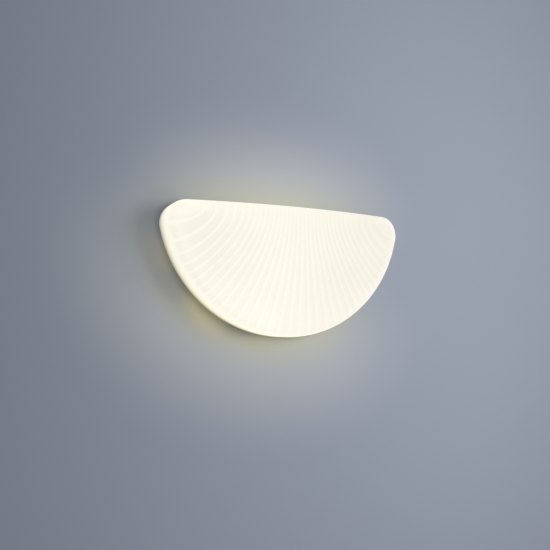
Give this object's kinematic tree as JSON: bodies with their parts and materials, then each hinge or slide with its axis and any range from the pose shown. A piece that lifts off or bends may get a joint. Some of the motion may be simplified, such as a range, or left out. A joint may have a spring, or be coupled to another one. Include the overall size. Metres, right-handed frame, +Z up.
{
  "type": "wall lamp",
  "caption": "Half-moon wall lamp with a fan-fluted, domed opal shade that pulls off a white steel tray holding a flat light source and its driver.",
  "frame": {"origin": "on the wall plane, midway between the two wall screws", "axes": "+Z up, +Y into the wall, the shade faces -Y, +X to the right of someone who faces the lamp"},
  "size_m": [0.2942, 0.0479, 0.146],
  "materials": {
    "opal_acrylic": "satin",
    "white_paint": "satin",
    "foam": "matte",
    "spring_steel": "satin",
    "zinc_steel": "satin",
    "black_rubber": "matte",
    "white_nylon": "matte",
    "brass": "satin",
    "case_plastic": "matte",
    "circuit_board": "satin",
    "ferrite": "matte",
    "capacitor_sleeve": "gloss",
    "green_terminal": "satin",
    "heat_pad": "matte",
    "white_board": "satin",
    "light_chip": "satin",
    "white_connector": "satin",
    "brown_lead": "satin",
    "blue_lead": "satin",
    "earth_lead": "satin",
    "red_lead": "satin",
    "black_lead": "satin"
  },
  "bodies": {
    "base": {"base_tray": "white_paint", "wall_seal": "foam", "shade_springs": "spring_steel", "spring_rivets": "zinc_steel", "cable_grommet": "black_rubber", "cable_clamp": "white_nylon", "clamp_screws": "zinc_steel", "terminal_block": "white_nylon", "terminal_barrels": "brass", "terminal_screws": "zinc_steel", "block_screw": "zinc_steel", "earth_stud": "brass", "earth_washer": "zinc_steel", "earth_tag": "zinc_steel", "earth_nut": "brass", "driver_case": "case_plastic", "driver_lid": "case_plastic", "driver_board": "circuit_board", "driver_transformer": "ferrite", "driver_capacitors": "capacitor_sleeve", "driver_terminals": "green_terminal", "driver_screws": "zinc_steel", "plate_pillars": "zinc_steel", "light_plate": "white_paint", "plate_screws": "zinc_steel", "plate_grommet": "black_rubber", "thermal_pad": "heat_pad", "led_board": "white_board", "led_chips": "light_chip", "board_connector": "white_connector", "board_screws": "zinc_steel", "earth_lead": "earth_lead", "live_lead": "brown_lead", "neutral_lead": "blue_lead", "positive_lead": "red_lead", "negative_lead": "black_lead"},
    "shade": {"shade": "opal_acrylic"}
  },
  "joints": [
    {"name": "shade_pull", "type": "slide", "parent": "base", "child": "shade", "axis": [0, -1, 0], "range_m": [0, 0.035]}
  ]
}
